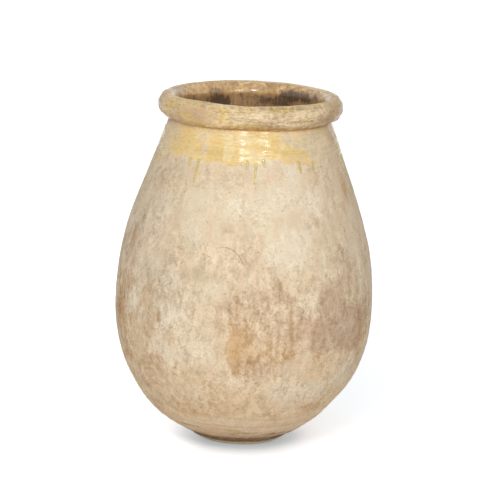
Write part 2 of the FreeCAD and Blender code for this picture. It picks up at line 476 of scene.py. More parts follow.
GLAZE_STAINS = (
    *blots(
        Mark.WEAR,
        (56, 0.755, 0.085, 0.060, 0.80, 0.8), (24, 0.772, 0.014, 0.010, 0.60),
        (-29, 0.742, 0.012, 0.016, 0.70), (-31, 0.766, 0.010, 0.008, 0.60),
        (-66, 0.755, 0.05, 0.05, 0.60, 0.8), (135, 0.740, 0.06, 0.035, 0.80, 0.8),
        (-140, 0.750, 0.08, 0.030, 0.75, 0.8), (30, 0.828, 0.16, 0.022, 0.45, 0.9),
    ),
    *blots(
        Mark.RUST,
        (-50, 0.806, 0.050, 0.010, 0.80, 0.8), (58, 0.810, 0.045, 0.016, 0.75, 0.8),
        (-36, 0.822, 0.060, 0.020, 0.60, 0.9), (-105, 0.842, 0.050, 0.030, 0.70, 0.9),
        (8, 0.801, 0.060, 0.007, 0.60, 0.8), (75, 0.765, 0.030, 0.030, 0.60, 0.9),
        (-84, 0.822, 0.050, 0.030, 0.75, 0.9), (80, 0.822, 0.070, 0.035, 0.85, 0.9),
        (155, 0.808, 0.090, 0.012, 0.75, 0.8), (-120, 0.812, 0.070, 0.014, 0.70, 0.8),
    ),
    *blots(
        Mark.SOOT_AND_SHADE,
        (-150, 0.826, 0.024, 0.013, 0.80, 0.8), (-146, 0.812, 0.070, 0.010, 0.80, 0.7),
        (-155, 0.803, 0.034, 0.012, 1.00, 0.5), (-108, 0.828, 0.040, 0.014, 0.50, 0.9),
        (118, 0.832, 0.030, 0.012, 0.90, 0.8), (146, 0.824, 0.045, 0.018, 1.00, 0.8),
        (128, 0.822, 0.040, 0.016, 1.00, 0.8), (160, 0.806, 0.060, 0.012, 0.90, 0.6),
        (-100, 0.814, 0.060, 0.012, 0.75, 0.7), (-60, 0.812, 0.060, 0.018, 0.90, 0.7),
        (20, 0.810, 0.080, 0.016, 0.90, 0.7), (90, 0.812, 0.060, 0.014, 0.80, 0.7),
    ),
)


@dataclass(frozen=True)
class Weathering:
    """Writes how stained each point of a piece is, as attributes that the finishes read."""

    outline: Outline
    edge_drift: float = 0.15
    drift_size: float = 0.07
    fray: float = 0.6
    fray_size: float = 0.025
    cut_drift: float = 8.0
    # Where the warmer, darker tint towards the bottom fades out, and how its upper edge wanders.
    low_tint_levels: tuple[float, float] = (0.08, 0.46)
    low_tint_wander: float = 0.02
    low_tint_size: float = 0.12
    crown_radius: float = 0.19925
    inner_reach: tuple[float, float] = (0.005, 0.012)
    inner_wander: float = 0.0016
    inner_size: float = 0.09

    def paint(self, piece: bpy.types.Object, stains: tuple[Stain, ...], marks: tuple[Mark, ...]) -> None:
        """Write one attribute for each kind of mark.

        Args:
            piece: The finished mesh.
            stains: The blotches that may reach it.
            marks: The kinds of mark that its finish reads.
        """
        points = read_points(piece)
        drift = SlowWave(self.drift_size, 31).at(points)
        drift = self.edge_drift * (drift + self.fray * SlowWave(self.fray_size, 32).at(points))
        for mark in marks:
            amount = np.zeros(len(points))
            for stain in stains:
                if stain.mark is mark:
                    amount = np.maximum(amount, self.amount(stain, points, drift))
            if mark is Mark.LOW_TINT:
                amount = self.lower_tint(points)
            if mark is Mark.INNER:
                amount = self.inner(points)
            layer = piece.data.attributes.new(mark.value, "FLOAT", "POINT")
            layer.data.foreach_set("value", amount.astype(np.float32))

    def amount(self, stain: Stain, points: np.ndarray, drift: np.ndarray) -> np.ndarray:
        """How strong one blotch is at each point.

        Args:
            stain: The blotch.
            points: Rows of x, y, z.
            drift: How far the blotch's edge wanders at each point, as a share of its size.

        Returns:
            A value for each point, from the blotch's strength in its middle to 0 outside it.
        """
        across, along = self.offset(points, stain.bearing, stain.level)
        tilt = math.radians(stain.tilt)
        wide = (across * math.cos(tilt) + along * math.sin(tilt)) / stain.half_width
        tall = (along * math.cos(tilt) - across * math.sin(tilt)) / stain.half_height
        distance = np.hypot(wide, tall) + drift
        amount = stain.strength * (1 - smooth_step(1 - stain.softness, 1 + stain.softness, distance))
        if stain.cut is not None:
            across, along = self.offset(points, stain.cut.bearing, stain.cut.level)
            keep = math.radians(stain.cut.keep)
            inside = (across * math.cos(keep) + along * math.sin(keep)) / stain.cut.width
            amount = amount * smooth_step(-1.0, 1.0, inside + self.cut_drift * drift)
        return amount

    def offset(self, points: np.ndarray, bearing: float, level: float) -> tuple[np.ndarray, np.ndarray]:
        """How far points are from a place on the outside.

        Args:
            points: Rows of x, y, z.
            bearing: The place's bearing in degrees.
            level: The place's level.

        Returns:
            The distance round the jar to the right, and the distance up.
        """
        _, bearings, levels = cylindrical(points)
        return turned_from(bearing, bearings) * self.outline.radius_at(np.array([level])), levels - level

    def lower_tint(self, points: np.ndarray) -> np.ndarray:
        """How much of the warmer, darker tint shows: full at the bottom of the jar, and fading out higher
        up.
        """
        level = points[:, 2] + self.low_tint_wander * SlowWave(self.low_tint_size, 33).at(points)
        return 1 - smooth_step(*self.low_tint_levels, level)

    def inner(self, points: np.ndarray) -> np.ndarray:
        """How far over the crown towards the mouth each point of the rim is.

        Args:
            points: Rows of x, y, z.

        Returns:
            0 on the outside and 1 on the mouth's side.
        """
        radius, _, _ = cylindrical(points)
        wander = self.inner_wander * SlowWave(self.inner_size, 34).at(points)
        return smooth_step(*self.inner_reach, self.crown_radius - radius + wander)


GLAZE_MARKS = (Mark.WEAR, Mark.RUST)
RIM_MARKS = (Mark.WEAR, Mark.RUST, Mark.INNER, Mark.SOOT_AND_SHADE)
CLAY_MARKS = tuple(mark for mark in Mark if mark not in (Mark.WEAR, Mark.INNER))


def read_points(piece: bpy.types.Object) -> np.ndarray:
    """The points of a mesh, as rows of x, y, z.

    Args:
        piece: The object that holds the mesh.

    Returns:
        One row for each point.
    """
    points = np.empty(len(piece.data.vertices) * 3)
    piece.data.vertices.foreach_get("co", points)
    return points.reshape(-1, 3)


def write_points(piece: bpy.types.Object, points: np.ndarray) -> None:
    """Move the points of a mesh to those rows of x, y, z."""
    piece.data.vertices.foreach_set("co", points.ravel())
    piece.data.update()


def turn(name: str, profile: Profile, steps: int) -> bpy.types.Object:
    """Turn a closed profile about the jar's axis into a solid ring or disc.

    Args:
        name: The new piece's name.
        profile: Pairs of radius and level, once round the section.
        steps: How many steps make the full turn.

    Returns:
        The new piece, at the origin.
    """
    bpy.ops.object.select_all(action="DESELECT")
    bpy.ops.mesh.primitive_plane_add(size=MERGE_DISTANCE)
    piece = bpy.context.object
    piece.name = name
    piece.data.name = name
    bpy.ops.object.mode_set(mode="EDIT")
    bpy.ops.mesh.merge(type="CENTER")
    here = Vector((profile[0][0], 0, profile[0][1]))
    bpy.ops.transform.translate(value=here)
    for radius, level in profile[1:]:
        there = Vector((radius, 0, level))
        bpy.ops.mesh.extrude_region_move(TRANSFORM_OT_translate={"value": there - here})
        here = there
    section = bmesh.from_edit_mesh(piece.data)
    section.verts.ensure_lookup_table()
    section.verts[0].select = True
    section.verts[-1].select = True
    bmesh.update_edit_mesh(piece.data)
    bpy.ops.mesh.edge_face_add()
    bpy.ops.mesh.select_all(action="SELECT")
    wedge = math.tau / WEDGES
    bpy.ops.mesh.spin(steps=steps // WEDGES, angle=wedge, center=(0, 0, 0), axis=(0, 0, 1))
    bpy.ops.mesh.select_all(action="SELECT")
    for _ in range(WEDGES - 1):
        bpy.ops.mesh.duplicate()
        bpy.ops.transform.rotate(value=wedge, orient_axis="Z", center_override=(0, 0, 0))
    bpy.ops.mesh.select_all(action="SELECT")
    bpy.ops.mesh.remove_doubles(threshold=MERGE_DISTANCE)
    bpy.ops.mesh.normals_make_consistent(inside=False)
    bpy.ops.object.mode_set(mode="OBJECT")
    return piece


def settle(
    piece: bpy.types.Object, finish: bpy.types.Material, node: str, crease: float = 40
) -> None:
    """Shade and dress a finished piece, and let it stand for its solid.

    Args:
        piece: The finished piece.
        finish: Its material.
        node: The solid that the piece stands for.
        crease: Degrees between faces past which an edge stays sharp.
    """
    bpy.ops.object.select_all(action="DESELECT")
    piece.select_set(True)
    bpy.context.view_layer.objects.active = piece
    bpy.ops.object.shade_smooth_by_angle(angle=math.radians(crease))
    piece.data.materials.clear()
    piece.data.materials.append(finish)
    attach(piece, BODY)
    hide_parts(node)
    log.info("%s: %d points, %d faces", piece.name, len(piece.data.vertices), len(piece.data.polygons))


def srgb(code: str) -> Colour:
    """The linear colour of a six-digit colour code.

    Args:
        code: Red, green and blue, two digits each.

    Returns:
        Red, green, blue and a full alpha.
    """
    channels = [int(code[place : place + 2], 16) / 255 for place in (0, 2, 4)]
    linear = [c / 12.92 if c <= 0.04045 else ((c + 0.055) / 1.055) ** 2.4 for c in channels]
    return (*linear, 1.0)


@dataclass(frozen=True)
class Shade:
    """How a texture shades a colour: two tints that multiply it, and where the texture reaches them."""

    dark: Colour
    light: Colour
    low: float
    high: float


class NodeSheet:
    """A node tree, with a short method for each kind of node that the finishes use."""

    def __init__(self, owner: bpy.types.Material | bpy.types.World) -> None:
        """Start an empty tree for a new material or world.

        Args:
            owner: What the tree belongs to.
        """
        owner.use_nodes = True
        self.owner = owner
        self.tree = owner.node_tree
        self.tree.nodes.clear()
        self.place = self.add("ShaderNodeTexCoord").outputs["Object"]

    def add(self, kind: str, inputs: dict | None = None, **settings: object) -> bpy.types.Node:
        """Add a node.

        Args:
            kind: The node's type.
            inputs: A value or another node's socket for each input, by name or number.
            settings: The node's own settings.

        Returns:
            The new node.
        """
        node = self.tree.nodes.new(kind)
        for key, value in settings.items():
            setattr(node, key, value)
        for key, value in (inputs or {}).items():
            if isinstance(value, Socket):
                self.tree.links.new(value, node.inputs[key])
            else:
                node.inputs[key].default_value = value
        return node

    def stretched(self, stretch: tuple[float, float, float]) -> Socket:
        """Object coordinates, multiplied along each axis."""
        return self.add("ShaderNodeMapping", {"Vector": self.place, "Scale": stretch}).outputs["Vector"]

    def noise(
        self,
        size: float,
        detail: float = 4.0,
        roughness: float = 0.55,
        stretch: tuple[float, float, float] = (1, 1, 1),
        distortion: float = 0.0,
    ) -> Socket:
        """Cloudy noise.

        Args:
            size: About how far apart the clouds are.
            detail: How many finer layers there are.
            roughness: How strong the finer layers are.
            stretch: How much the pattern is squeezed along each axis.
            distortion: How much the clouds are stirred.

        Returns:
            A value about 0.5.
        """
        vector = self.place if stretch == (1, 1, 1) else self.stretched(stretch)
        inputs = {
            "Vector": vector,
            "Scale": 1 / size,
            "Detail": detail,
            "Roughness": roughness,
            "Distortion": distortion,
        }
        return self.add("ShaderNodeTexNoise", inputs).outputs["Fac"]

    def cells(self, size: float) -> Socket:
        """How far the nearest of scattered spots is, as a share of about that size."""
        node = self.add("ShaderNodeTexVoronoi", {"Vector": self.place, "Scale": 1 / size})
        return node.outputs["Distance"]

    def along(self, axis: str) -> Socket:
        """Object coordinates along one axis."""
        return self.add("ShaderNodeSeparateXYZ", {0: self.place}).outputs[axis]

    def math(self, operation: str, first: Socket | float, second: Socket | float = 0.0) -> Socket:
        """One sum of two values."""
        return self.add("ShaderNodeMath", {0: first, 1: second}, operation=operation).outputs[0]

    def plus(self, first: Socket | float, second: Socket | float) -> Socket:
        """Two values added."""
        return self.math("ADD", first, second)

    def minus(self, first: Socket | float, second: Socket | float) -> Socket:
        """One value less another."""
        return self.math("SUBTRACT", first, second)

    def times(self, first: Socket | float, second: Socket | float) -> Socket:
        """Two values multiplied."""
        return self.math("MULTIPLY", first, second)

    def weighed(self, *parts: tuple[Socket, float]) -> Socket:
        """Add up textures, each times its share.

        Args:
            parts: Pairs of a texture and its share.

        Returns:
            The sum.
        """
        total: Socket | float = 0.0
        for texture, share in parts:
            inputs = {0: texture, 1: share, 2: total}
            total = self.add("ShaderNodeMath", inputs, operation="MULTIPLY_ADD").outputs[0]
        return total

    def swing(self, value: Socket, strength: Socket | float) -> Socket:
        """How far a texture is above or below its middle, times a strength."""
        return self.times(self.minus(value, 0.5), strength)

    def mix(self, first: Socket | float, second: Socket | float, share: Socket) -> Socket:
        """Mix two values."""
        return self.add("ShaderNodeMix", {0: share, 2: first, 3: second}).outputs[0]

    def seen(self) -> Socket:
        """1 for what the camera, a reflection or glass shows, and 0 for light on its way.

        Returns:
            The value for each ray.
        """
        path = self.add("ShaderNodeLightPath").outputs
        mirrored = self.math("MAXIMUM", path["Is Glossy Ray"], path["Is Transmission Ray"])
        return self.math("MAXIMUM", path["Is Camera Ray"], mirrored)

    def rise(self, value: Socket, low: float, high: float, peak: float = 1.0) -> Socket:
        """Rise smoothly from 0 at low to peak at high."""
        inputs = {"Value": value, "From Min": low, "From Max": high, "To Min": 0.0, "To Max": peak}
        return self.add("ShaderNodeMapRange", inputs, interpolation_type="SMOOTHSTEP").outputs["Result"]

    def blend(
        self, first: Socket | Colour, second: Socket | Colour, share: Socket | float, mode: str = "MIX"
    ) -> Socket:
        """Mix two colours."""
        inputs = {0: share, 6: first, 7: second}
        return self.add("ShaderNodeMix", inputs, data_type="RGBA", blend_type=mode).outputs[2]

    def coat(self, colour: Socket, code: str, share: Socket | float) -> Socket:
        """Lay the colour of a code over another colour."""
        return self.blend(colour, srgb(code), share)

    def between(self, first: str, second: str, share: Socket) -> Socket:
        """A colour between the colours of two codes."""
        return self.blend(srgb(first), srgb(second), share)

    def shaded(self, colour: Socket, shade: Shade, texture: Socket, share: float = 1.0) -> Socket:
        """Darken and lighten a colour by a texture."""
        tint = self.blend(shade.dark, shade.light, self.rise(texture, shade.low, shade.high))
        return self.blend(colour, tint, share, "MULTIPLY")

    def mark(self, mark: Mark) -> Socket:
        """How much of a mark there is, as painted on the piece."""
        return self.add("ShaderNodeAttribute", attribute_name=mark.value).outputs["Fac"]

    def broken(self, amount: Socket, edge: Socket, low: float, high: float) -> Socket:
        """Where there is enough of something, with its edge broken up by noise."""
        ragged = self.times(self.swing(edge, EDGE_BREAK), self.rise(amount, 0.0, 0.4))
        return self.rise(self.plus(amount, ragged), low, high)

    def stained(self, mark: Mark, edge: Socket, low: float = 0.05, high: float = 1.0) -> Socket:
        """Where a mark shows."""
        return self.broken(self.mark(mark), edge, low, high)

    def bump(self, height: Socket, distance: float, normal: Socket | None = None) -> Socket:
        """Roughen the surface by a height of 0 to 1 times the distance.

        Args:
            height: The texture that stands out.
            distance: How far it stands out.
            normal: The surface's direction before, if something has roughened it.

        Returns:
            The surface's new direction.
        """
        inputs = {"Height": height, "Distance": distance, "Strength": 1.0}
        if normal is not None:
            inputs["Normal"] = normal
        return self.add("ShaderNodeBump", inputs).outputs["Normal"]

    def surface(self, inputs: dict) -> bpy.types.Material:
        """Finish with a principled surface.

        Args:
            inputs: Values or sockets of the surface, by name.

        Returns:
            The finished material.
        """
        shader = self.add("ShaderNodeBsdfPrincipled", inputs)
        self.add("ShaderNodeOutputMaterial", {"Surface": shader.outputs[0]})
        return self.owner


@dataclass(frozen=True)
class ClayFinish:
    """Bare buff clay: chalky, mottled, pitted and stained, with painted shade round the foot and painted
    highlights in places.
    """

    buff: str = "E5D1B3"
    cream: str = "EFE1C8"
    tan: str = "CDAD85"
    pink: str = "E0BE9E"
    ash: str = "C6B497"
    ochre: str = "CFA570"
    rust: str = "CC9156"
    # The damp and grime colours also paint the foot's brown zone, partly painted shade; grime also paints a
    # shade line in its groove.
    damp_and_foot_shade: str = "B59174"
    low_tint: str = "E0BC8E"
    grime_and_foot_shade: str = "7A5836"
    fleck: str = "A58862"
    pit: str = "8E7356"
    crack: str = "8A6E4E"
    shade: Shade = Shade((0.66, 0.605, 0.54, 1), (1.07, 1.07, 1.06, 1), 0.28, 0.62)
    stain_edge: tuple[float, float] = (0.12, 0.93)
    pit_pitch: float = 0.017
    pit_cover: float = 0.60
    sheen: float = 0.15
    dull: float = 0.55
    dull_spread: float = 0.4
    grain_depth: float = 0.0007
    drag_depth: float = 0.0008
    pock_depth: float = 0.0006
    calm_level: float = 0.58
    coarse_level: float = 0.34
    line_level: float = 0.13
    crack_centre: tuple[float, float] = (-0.0505, 0.4815)
    crack_radius: float = 0.0470
    crack_width: float = 0.0011
    crack_cover: float = 0.75
    crack_wander: float = 0.006
    crack_start: tuple[float, float] = (0.15, 0.35)
    crack_end: tuple[float, float] = (1.75, 1.50)

    def colour(self, sheet: NodeSheet) -> Socket:
        """Lay down the clay's colours.

        Args:
            sheet: The material that is being made.

        Returns:
            The colour's socket.
        """
        broad = sheet.noise(0.15, 5, 0.6, distortion=0.4)
        cloud = sheet.noise(0.034, 6, 0.66, distortion=0.6)
        fine = sheet.noise(0.0056, 6, 0.70)
        blotch = sheet.noise(0.015, 6, 0.68, stretch=(1, 1, 0.6), distortion=0.3)
        streak = sheet.noise(0.020, 5, 0.62, stretch=(1, 1, 0.12))
        edge = sheet.weighed((fine, 0.15), (blotch, 0.25), (cloud, 0.15), (streak, 0.45))
        edge = sheet.minus(1.0, edge)
        colour = sheet.between(self.buff, self.cream, sheet.rise(broad, 0.42, 0.66))
        colour = sheet.coat(colour, self.tan, sheet.rise(cloud, 0.52, 0.22, 0.70))
        colour = sheet.coat(colour, self.pink, sheet.rise(streak, 0.46, 0.74, 0.60))
        layers = (
            # A warmer, darker tint towards the bottom of the jar.
            (Mark.LOW_TINT, self.low_tint, 0.45),
            (Mark.ASH, self.ash, 0.60),
            (Mark.OCHRE, self.ochre, 0.70),
            # Damp also paints the brown zone round the foot, partly painted shade.
            (Mark.DAMP_AND_SHADE, self.damp_and_foot_shade, 0.58),
            # Lime also paints a pale strip on the right side, a painted highlight, and the foot's pale lip,
            # partly a painted highlight.
            (Mark.LIME_AND_HIGHLIGHT, self.cream, 0.75),
            (Mark.RUST, self.rust, 0.65),
            # Soot also paints the foot: its brown zone, partly painted shade, and a painted shade line in
            # its groove.
            (Mark.SOOT_AND_SHADE, self.grime_and_foot_shade, 0.85),
        )
        for mark, code, cover in layers:
            share = sheet.times(sheet.stained(mark, edge, *self.stain_edge), cover)
            colour = sheet.coat(colour, code, share)
        colour = sheet.shaded(colour, self.shade, self.grain(sheet, fine, blotch, cloud))
        flecks = sheet.times(sheet.rise(fine, 0.44, 0.30), sheet.rise(cloud, 0.42, 0.62, 0.75))
        colour = sheet.coat(colour, self.fleck, flecks)
        colour = sheet.coat(colour, self.pit, self.pits(sheet))
        return sheet.coat(colour, self.crack, self.hair_crack(sheet))

    def grain(self, sheet: NodeSheet, fine: Socket, blotch: Socket, cloud: Socket) -> Socket:
        """Light and dark in the clay.

        Args:
            sheet: The material that is being made.
            fine: The finest texture.
            blotch: A coarser one.
            cloud: The coarsest one, which shows only low on the jar.

        Returns:
            A value about 0.5: rough in patches, and drawn out into turning lines on the heel.
        """
        rough = sheet.rise(sheet.noise(0.055, 4, 0.62, distortion=0.5), 0.38, 0.66)
        level = sheet.along("Z")
        low = sheet.rise(level, self.calm_level, self.coarse_level)
        strength = sheet.plus(sheet.weighed((rough, 0.90), (low, 0.40)), 0.22)
        specks = sheet.swing(sheet.weighed((fine, 0.47), (blotch, 0.53)), strength)
        clouds = sheet.swing(cloud, sheet.times(low, 0.25))
        specks = sheet.plus(sheet.plus(specks, clouds), 0.5)
        lines = sheet.noise(0.018, 6, 0.66, stretch=(0.06, 0.06, 1))
        return sheet.mix(specks, lines, sheet.rise(level, self.line_level, self.line_level / 2, 0.50))

    def pits(self, sheet: NodeSheet) -> Socket:
        """Where the small dark pits are.

        Args:
            sheet: The material that is being made.

        Returns:
            How dark each pit is, and 0 between them.
        """
        spots = sheet.rise(sheet.cells(self.pit_pitch), 0.17, 0.06)
        scattered = sheet.rise(sheet.noise(0.055, 3, 0.6), 0.50, 0.66, 0.6)
        chosen = sheet.math("MAXIMUM", scattered, sheet.mark(Mark.SPECK))
        return sheet.times(sheet.times(spots, chosen), self.pit_cover)

    def hair_crack(self, sheet: NodeSheet) -> Socket:
        """Where the thin curved crack in the front runs.

        Args:
            sheet: The material that is being made.

        Returns:
            How dark the crack is, and 0 beside it.
        """
        across = sheet.minus(sheet.along("X"), self.crack_centre[0])
        along = sheet.minus(sheet.along("Z"), self.crack_centre[1])
        squares = sheet.plus(sheet.times(across, across), sheet.times(along, along))
        distance = sheet.minus(sheet.math("SQRT", squares), self.crack_radius)
        wander = sheet.swing(sheet.noise(0.014, 4, 0.65), self.crack_wander)
        distance = sheet.math("ABSOLUTE", sheet.plus(distance, wander))
        line = sheet.rise(distance, self.crack_width, self.crack_width * 0.3, self.crack_cover)
        angle = sheet.math("ARCTAN2", along, across)
        ends = sheet.times(sheet.rise(angle, *self.crack_start), sheet.rise(angle, *self.crack_end))
        front = sheet.math("LESS_THAN", sheet.along("Y"), 0.0)
        return sheet.times(line, sheet.times(ends, front))

    def normal(self, sheet: NodeSheet) -> Socket:
        """Roughen the clay: grain, drag lines and pits.

        Args:
            sheet: The material that is being made.

        Returns:
            The surface's direction.
        """
        grain = sheet.bump(sheet.noise(0.0035, 4, 0.65), self.grain_depth)
        lines = sheet.noise(0.010, 4, 0.6, stretch=(0.10, 0.10, 1))
        drag = sheet.bump(lines, self.drag_depth, grain)
        pocks = sheet.rise(sheet.cells(self.pit_pitch), 0.05, 0.20)
        return sheet.bump(pocks, self.pock_depth, drag)

    def make(self) -> bpy.types.Material:
        """Make the material.

        Returns:
            The finished material.
        """
        sheet = NodeSheet(bpy.data.materials.new("bare_clay"))
        inputs = {
            "Base Color": self.colour(sheet),
            "Roughness": sheet.plus(sheet.times(sheet.noise(0.03), self.dull_spread), self.dull),
            "Specular IOR Level": self.sheen,
            "Normal": self.normal(sheet),
        }
        return sheet.surface(inputs)


@dataclass(frozen=True)
class LiningFinish:
    """Amber glaze inside, with dark stains, and darker umber further down the mouth."""

    amber: str = "DBAE74"
    honey: str = "EACB90"
    brown: str = "B98E58"
    umber: str = "AB8868"
    soot: str = "7A6149"
    tar: str = "4C3B2D"
    ash: str = "B0946F"
    shade: Shade = Shade((0.66, 0.60, 0.50, 1), (1.14, 1.13, 1.10, 1), 0.36, 0.62)
    gloss: float = 0.17
    dirt_dulls: float = 0.32
    shine: float = 1.0
    umber_levels: tuple[float, float] = (0.838, 0.806)
    umber_edge: tuple[float, float] = (0.62, 1.22)
    umber_cover: float = 0.75
    soot_edge: tuple[float, float] = (0.86, 1.36)
    crust_cover: float = 0.92

    def colour(self, sheet: NodeSheet) -> tuple[Socket, Socket]:
        """Lay down the lining's colours.

        Args:
            sheet: The material that is being made.

        Returns:
            The colour's socket, and how dirty the glaze is.
        """
        broad = sheet.noise(0.05, 5, 0.62, distortion=0.6)
        middle = sheet.noise(0.014, 6, 0.70, distortion=0.5)
        fine = sheet.noise(0.0065, 5, 0.70, stretch=(1, 1, 0.5))
        drip = sheet.noise(0.012, 5, 0.66, stretch=(1, 1, 0.15))
        edge = sheet.weighed((broad, 0.15), (middle, 0.50), (fine, 0.40), (drip, 0.30))
        level = sheet.along("Z")
        colour = sheet.between(self.amber, self.honey, sheet.rise(middle, 0.40, 0.66))
        colour = sheet.coat(colour, self.brown, sheet.rise(broad, 0.44, 0.62, 0.8))
        # The lining turns umber further down the mouth, darker towards the bottom.
        deep_umber = sheet.broken(sheet.rise(level, *self.umber_levels), edge, *self.umber_edge)
        spots = sheet.times(deep_umber, sheet.rise(middle, 0.50, 0.60, 0.8))
        stain = sheet.math("MAXIMUM", sheet.stained(Mark.SOOT_AND_SHADE, edge, *self.soot_edge), spots)
        crust = sheet.between(self.soot, self.tar, sheet.rise(fine, 0.46, 0.62))
        crust = sheet.coat(crust, self.ash, sheet.rise(fine, 0.46, 0.34, 0.7))
        crust = sheet.coat(crust, self.tar, sheet.rise(sheet.mark(Mark.SOOT_AND_SHADE), 0.60, 1.0, 0.9))
        colour = sheet.coat(colour, self.umber, sheet.times(deep_umber, self.umber_cover))
        colour = sheet.shaded(colour, self.shade, sheet.weighed((middle, 0.55), (drip, 0.45)))
        colour = sheet.blend(colour, crust, sheet.times(stain, self.crust_cover))
        return colour, stain

    def roughness(self, sheet: NodeSheet, stain: Socket) -> Socket:
        """Glossy, and duller where it is dirty."""
        return sheet.plus(sheet.times(stain, self.dirt_dulls), self.gloss)

    def make(self) -> bpy.types.Material:
        """Make the material.

        Returns:
            The finished material.
        """
        sheet = NodeSheet(bpy.data.materials.new("amber_lining"))
        colour, stain = self.colour(sheet)
        ring = sheet.noise(0.016, 4, 0.6, stretch=(0.08, 0.08, 1))
        inputs = {
            "Base Color": colour,
            "Roughness": self.roughness(sheet, stain),
            "Normal": sheet.bump(ring, RING_DEPTH),
            "IOR": GLAZE_IOR,
        }
        return sheet.surface(inputs)


@dataclass(frozen=True)
class GlazeFinish:
    """Honey-yellow glaze over buff clay: glossy where it is whole, chalky where it has worn off."""

    name: str
    worn: float
    honey: str = "E7C784"
    straw: str = "F0DDAE"
    olive: str = "C8B278"
    amber: str = "D9AB6C"
    bare: str = "E6CFA9"
    chalk: str = "DBC9AA"
    rust: str = "C0936A"
    shade: Shade = Shade((0.50, 0.44, 0.36, 1), (1.12, 1.12, 1.10, 1), 0.34, 0.60)
    mottle: float = 0.38
    gloss: float = 0.16
    bare_edge: tuple[float, float] = (0.28, 0.80)
    bare_dulls: float = 0.55
    rust_cover: float = 0.75
    sheen: float = 0.5
    flake: float = 0.0012
    inner_edge: tuple[float, float] = (0.15, 0.60)
    crease_level: float = 0.794
    crease_reach: float = 0.012
    lining: LiningFinish | None = None

    def make(self) -> bpy.types.Material:
        """Make the material.

        Returns:
            The finished material.
        """
        sheet = NodeSheet(bpy.data.materials.new(self.name))
        broad = sheet.noise(0.070, 5, 0.62, distortion=0.5)
        middle = sheet.noise(0.020, 5, 0.64, distortion=0.4)
        ring = sheet.noise(0.011, 5, 0.62, stretch=(0.09, 0.09, 1))
        fine = sheet.noise(0.0048, 5, 0.66, stretch=(0.45, 0.45, 1))
        colour = sheet.between(self.honey, self.straw, sheet.rise(broad, 0.40, 0.66))
        colour = sheet.coat(colour, self.olive, sheet.rise(middle, 0.54, 0.76, 0.60))
        colour = sheet.coat(colour, self.amber, sheet.rise(ring, 0.52, 0.74, 0.55))
        wear = sheet.plus(sheet.mark(Mark.WEAR), self.worn)
        for texture, strength in ((broad, 1.2), (middle, 1.0), (fine, 0.8), (ring, 1.3)):
            wear = sheet.plus(wear, sheet.swing(texture, strength))
        bare = sheet.rise(wear, *self.bare_edge)
        clay = sheet.between(self.bare, self.chalk, sheet.rise(middle, 0.42, 0.62))
        colour = sheet.blend(colour, clay, bare)
        edge = sheet.weighed((ring, 0.60), (fine, 0.40))
        rust = sheet.times(sheet.stained(Mark.RUST, edge), self.rust_cover)
        colour = sheet.coat(colour, self.rust, rust)
        level = sheet.along("Z")
        # Amber pooled glaze along the crease under the rim, and partly painted shade in the crease.
        above = sheet.math("ABSOLUTE", sheet.minus(level, self.crease_level))
        pool_and_crease_shade = sheet.times(sheet.rise(above, self.crease_reach, 0.0), sheet.rise(middle, 0.30, 0.60))
        colour = sheet.coat(colour, self.amber, pool_and_crease_shade)
        grain = sheet.weighed((ring, 0.45), (fine, 0.55))
        colour = sheet.shaded(colour, self.shade, grain, self.mottle)
        roughness = sheet.plus(sheet.times(bare, self.bare_dulls), self.gloss)
        flaked = sheet.times(fine, bare)
        shine: Socket | float = self.sheen
        if self.lining is not None:
            inside = sheet.stained(Mark.INNER, edge, *self.inner_edge)
            lined, stain = self.lining.colour(sheet)
            colour = sheet.blend(colour, lined, inside)
            roughness = sheet.mix(roughness, self.lining.roughness(sheet, stain), inside)
            shine = sheet.mix(self.sheen, self.lining.shine, inside)
            flaked = sheet.mix(flaked, 0.0, inside)
        inputs = {
            "Base Color": colour,
            "Roughness": roughness,
            "Specular IOR Level": shine,
            "Normal": sheet.bump(flaked, self.flake, sheet.bump(ring, RING_DEPTH)),
            "IOR": GLAZE_IOR,
        }
        return sheet.surface(inputs)


